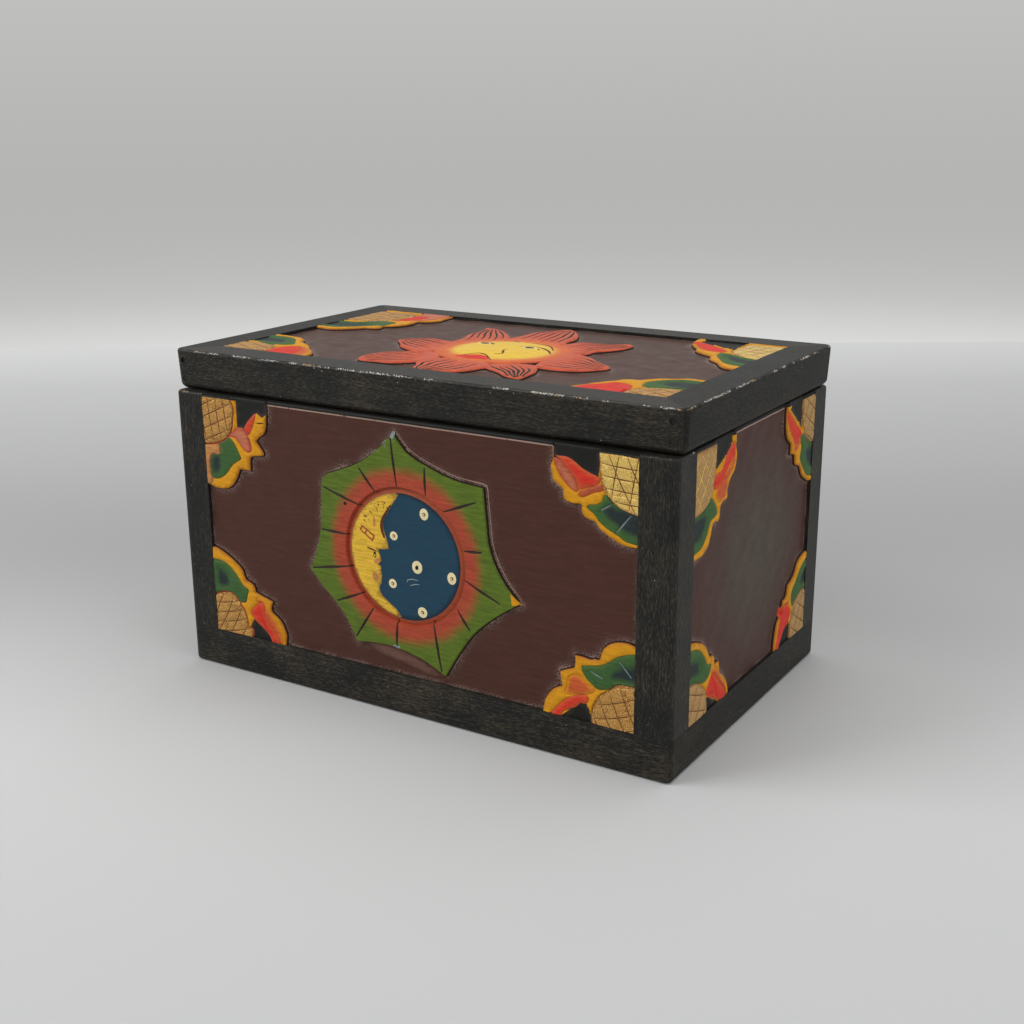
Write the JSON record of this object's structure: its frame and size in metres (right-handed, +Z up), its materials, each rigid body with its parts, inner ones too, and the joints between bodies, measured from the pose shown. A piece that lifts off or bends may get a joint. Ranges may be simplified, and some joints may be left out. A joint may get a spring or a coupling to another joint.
{
  "type": "wooden box",
  "caption": "Hand-carved painted wooden box with a hinged lid: black frames round brown panels carved with a sun, a star and moon, and corner leaves.",
  "frame": {"origin": "middle of the body's underside, on the face that the box stands on", "axes": "+X along the front to the right, +Y from the front to the hinged back, +Z up"},
  "size_m": [0.2528, 0.1635, 0.1508],
  "materials": {
    "black_paint": "worn matt black paint over grained wood",
    "carved_paint": "hand-painted relief carving, satin brown field with bright figures",
    "stained_board": "dark stained bare board",
    "hinge_brass": "dull aged brass",
    "screw_brass": "dull brass, slotted heads",
    "nail_steel": "darkened steel, filled and painted over on the outside"
  },
  "bodies": {
    "box": {"base_front_rail": "black_paint", "base_back_rail": "black_paint", "base_left_rail": "black_paint", "base_right_rail": "black_paint", "front_left_post": "black_paint", "front_right_post": "black_paint", "back_left_post": "black_paint", "back_right_post": "black_paint", "front_panel": "carved_paint", "back_panel": "carved_paint", "left_panel": "carved_paint", "right_panel": "carved_paint", "floor_board": "stained_board", "left_hinge_body_leaf": "hinge_brass", "right_hinge_body_leaf": "hinge_brass", "left_hinge_pin": "hinge_brass", "right_hinge_pin": "hinge_brass", "hinge_body_screws": "screw_brass", "base_nails": "nail_steel", "panel_pins": "nail_steel", "floor_nails": "nail_steel"},
    "lid": {"lid_front_rail": "black_paint", "lid_back_rail": "black_paint", "lid_left_rail": "black_paint", "lid_right_rail": "black_paint", "lid_board": "carved_paint", "lid_nails": "nail_steel", "left_hinge_lid_leaf": "hinge_brass", "right_hinge_lid_leaf": "hinge_brass", "hinge_lid_screws": "screw_brass"}
  },
  "joints": [
    {"name": "lid_hinge", "type": "hinge", "parent": "box", "child": "lid", "pos_m": [0, 0.0819, 0.13115], "axis": [-1, 0, 0], "range_deg": [0, 180]}
  ]
}
